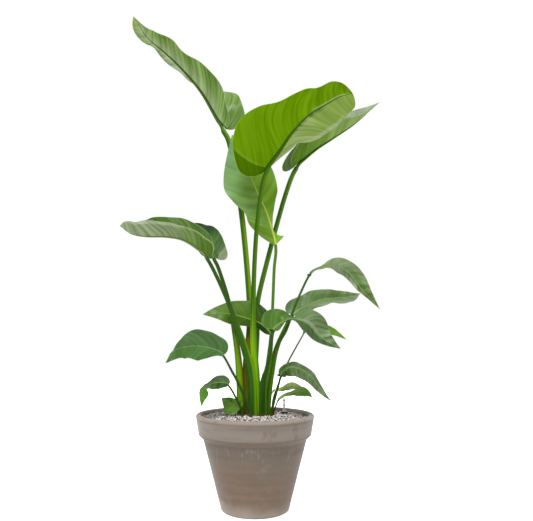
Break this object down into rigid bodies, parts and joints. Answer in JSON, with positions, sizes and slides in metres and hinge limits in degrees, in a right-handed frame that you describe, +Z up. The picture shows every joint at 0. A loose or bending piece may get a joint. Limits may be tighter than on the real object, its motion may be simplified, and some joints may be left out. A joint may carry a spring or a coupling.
{
  "type": "potted bird of paradise",
  "caption": "A tall house plant with long-stalked, paddle-shaped leaves with strong midribs, in a tapered clay pot of mineral granules with a water level gauge",
  "frame": {"origin": "On the ground at the middle of the pot's flat underside, which is the mount foot.", "axes": "+Z points up along the pot's axis and the plant's height. -Y faces the viewer of the reference view, +X is to that viewer's right."},
  "size_m": [0.7442, 0.31, 1.4024],
  "materials": {
    "clay": "matte",
    "granules": "matte",
    "dark_plastic": "satin",
    "red_plastic": "satin",
    "clear_plastic": "clear, glossy",
    "dark_stalk": "satin",
    "bright_stalk": "satin",
    "brown_stalk": "satin",
    "bright_blade": "satin",
    "pale_blade": "satin",
    "mid_blade": "satin",
    "deep_blade": "satin"
  },
  "bodies": {
    "root": {"pot": "clay", "granules": "granules", "gauge_shaft": "dark_plastic", "gauge_float": "red_plastic", "gauge_dome": "clear_plastic", "stalk_tall_left": "brown_stalk", "blade_tall_left": "pale_blade", "stalk_front_bright": "bright_stalk", "blade_front_bright": "bright_blade", "stalk_right_folded": "dark_stalk", "blade_right_folded": "pale_blade", "stalk_centre_upright": "bright_stalk", "blade_centre_upright": "mid_blade", "stalk_left_front": "dark_stalk", "blade_left_front": "pale_blade", "stalk_left_back": "dark_stalk", "blade_left_back": "deep_blade", "stalk_right_arching": "dark_stalk", "blade_right_arching": "pale_blade", "stalk_right_level": "dark_stalk", "blade_right_level": "mid_blade", "stalk_right_twisted": "dark_stalk", "blade_right_twisted": "deep_blade", "stalk_right_hidden": "dark_stalk", "blade_right_hidden": "mid_blade", "stalk_centre_left": "dark_stalk", "blade_centre_left": "mid_blade", "stalk_lower_left": "dark_stalk", "blade_lower_left": "deep_blade", "stalk_small_left": "dark_stalk", "blade_small_left": "deep_blade", "stalk_lower_right": "dark_stalk", "blade_lower_right": "deep_blade", "stalk_small_right_upper": "dark_stalk", "blade_small_right_upper": "mid_blade", "stalk_small_right_lower": "dark_stalk", "blade_small_right_lower": "deep_blade", "stalk_ground_left": "dark_stalk", "blade_ground_left": "mid_blade"}
  },
  "joints": []
}
